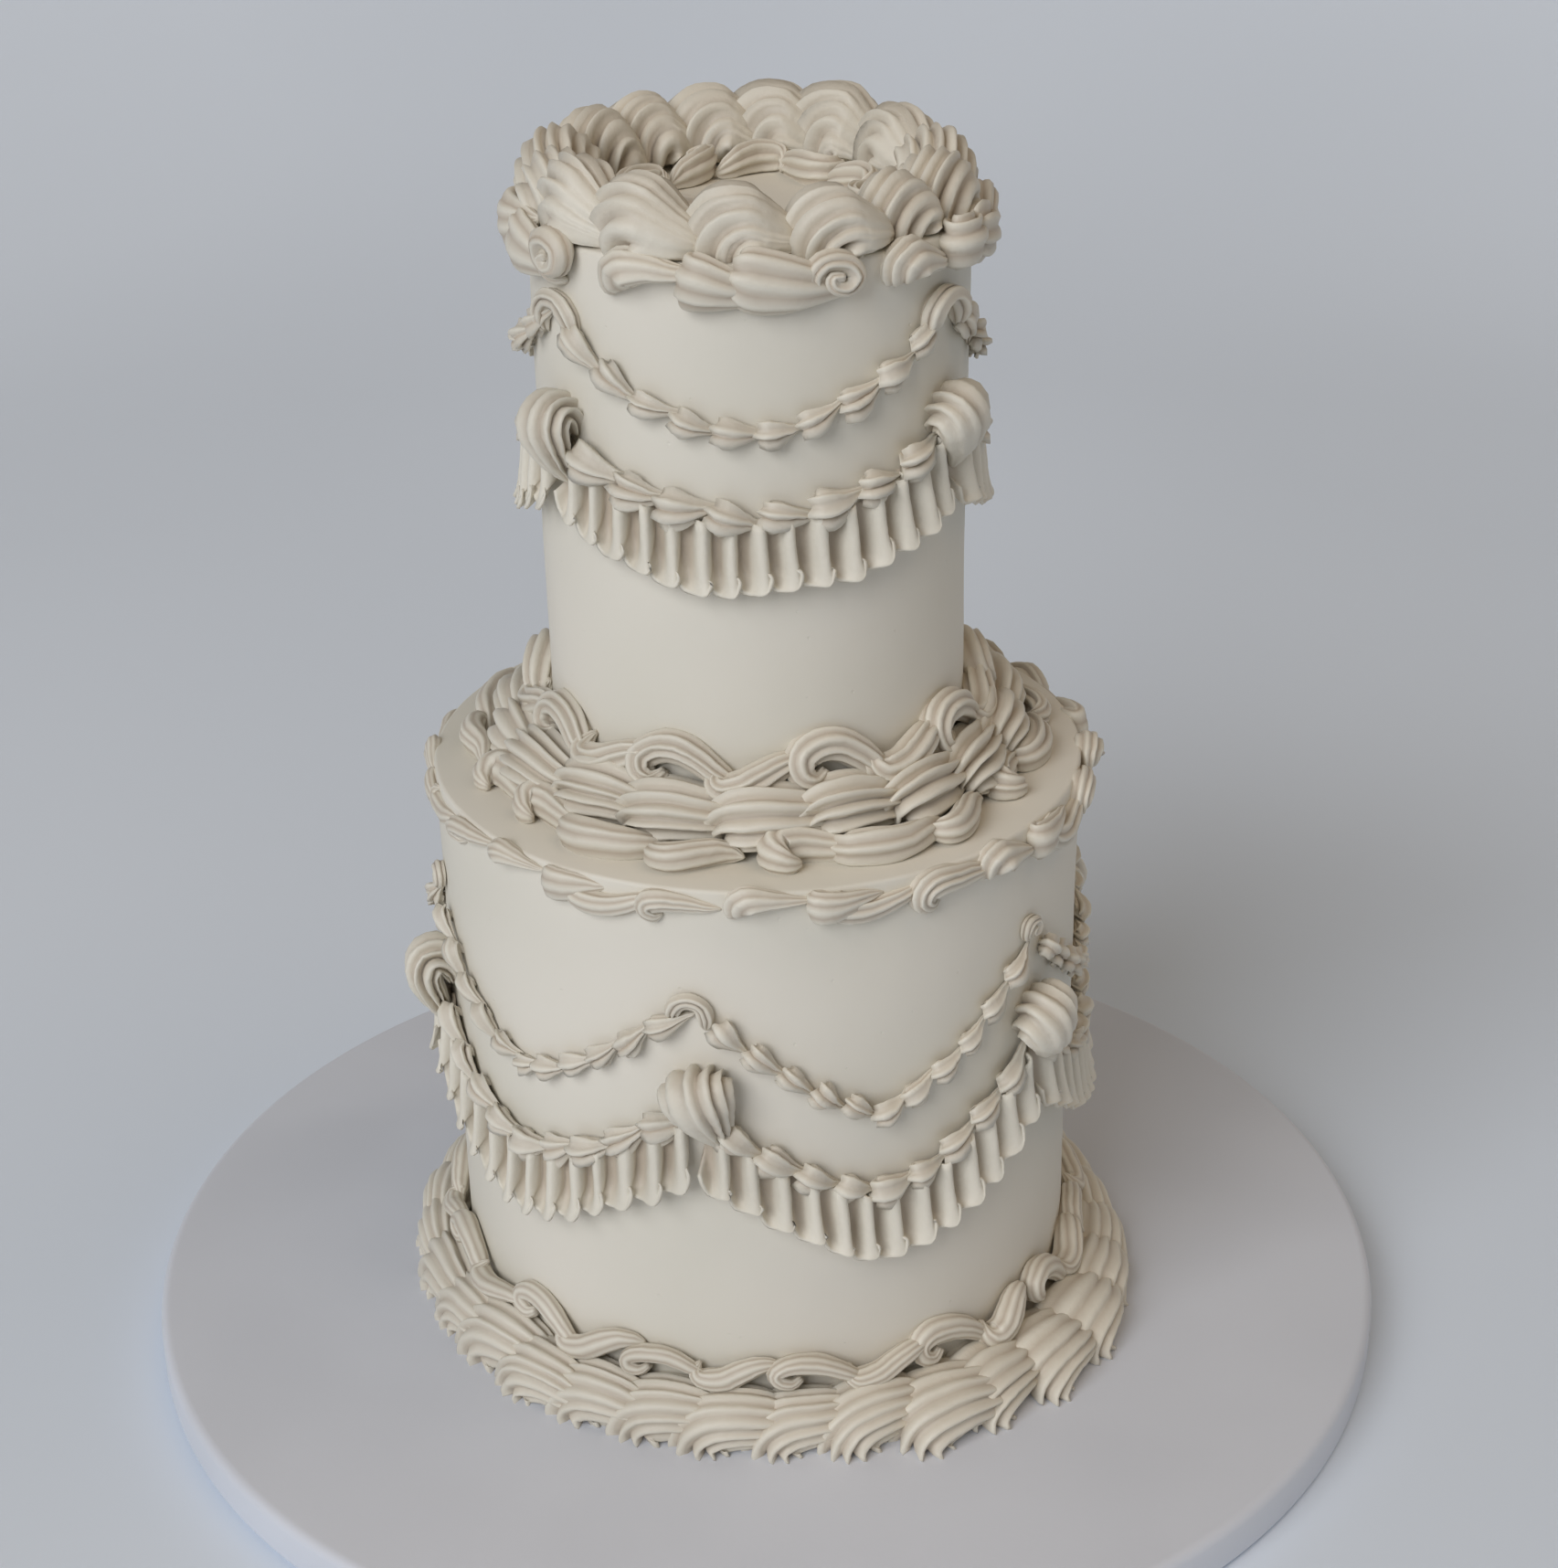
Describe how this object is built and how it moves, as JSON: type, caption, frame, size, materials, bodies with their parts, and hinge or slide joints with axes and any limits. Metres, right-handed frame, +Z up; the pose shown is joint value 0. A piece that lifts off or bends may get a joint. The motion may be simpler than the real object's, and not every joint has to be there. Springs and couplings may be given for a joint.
{
  "type": "tiered wedding cake",
  "caption": "Tiered round wedding cake in pale buttercream with piped shell borders, garlands and pleated ruffles, on its round board.",
  "frame": {"origin": "middle of the board's underside", "axes": "+Z up through the middle of the tiers, -Y towards the front of the cake, +X to the right seen from the front"},
  "size_m": [0.3048, 0.3048, 0.2939],
  "materials": {
    "coating": "smooth matt ivory buttercream, scraped level",
    "piping": "ridged ivory buttercream from star and petal tips, matt with soft highlights on the ridges",
    "board": "matt grey-white wrap on a drum board"
  },
  "bodies": {
    "root": {"board": "board", "lower_tier": "coating", "upper_tier": "coating", "top_rim_shells": "piping", "top_side_scrolls": "piping", "top_inner_scrolls": "piping", "upper_base_curls": "piping", "upper_base_shells": "piping", "upper_base_scrolls": "piping", "lower_rim_scrolls": "piping", "lower_base_shells": "piping", "lower_base_curls": "piping", "upper_plain_garland_1": "piping", "upper_shell_garland_1": "piping", "upper_ruffle_1": "piping", "upper_fan_shell_1": "piping", "upper_garland_peak_1": "piping", "upper_plain_garland_2": "piping", "upper_shell_garland_2": "piping", "upper_ruffle_2": "piping", "upper_fan_shell_2": "piping", "upper_garland_peak_2": "piping", "upper_plain_garland_3": "piping", "upper_shell_garland_3": "piping", "upper_ruffle_3": "piping", "upper_fan_shell_3": "piping", "upper_garland_peak_3": "piping", "lower_plain_garland_1": "piping", "lower_shell_garland_1": "piping", "lower_ruffle_1": "piping", "lower_fan_shell_1": "piping", "lower_garland_peak_1": "piping", "lower_plain_garland_2": "piping", "lower_shell_garland_2": "piping", "lower_ruffle_2": "piping", "lower_fan_shell_2": "piping", "lower_garland_peak_2": "piping", "lower_plain_garland_3": "piping", "lower_shell_garland_3": "piping", "lower_ruffle_3": "piping", "lower_fan_shell_3": "piping", "lower_garland_peak_3": "piping", "lower_plain_garland_4": "piping", "lower_shell_garland_4": "piping", "lower_ruffle_4": "piping", "lower_fan_shell_4": "piping", "lower_garland_peak_4": "piping", "lower_plain_garland_5": "piping", "lower_shell_garland_5": "piping", "lower_ruffle_5": "piping", "lower_fan_shell_5": "piping", "lower_garland_peak_5": "piping", "lower_plain_garland_6": "piping", "lower_shell_garland_6": "piping", "lower_ruffle_6": "piping", "lower_fan_shell_6": "piping", "lower_garland_peak_6": "piping"}
  },
  "joints": []
}
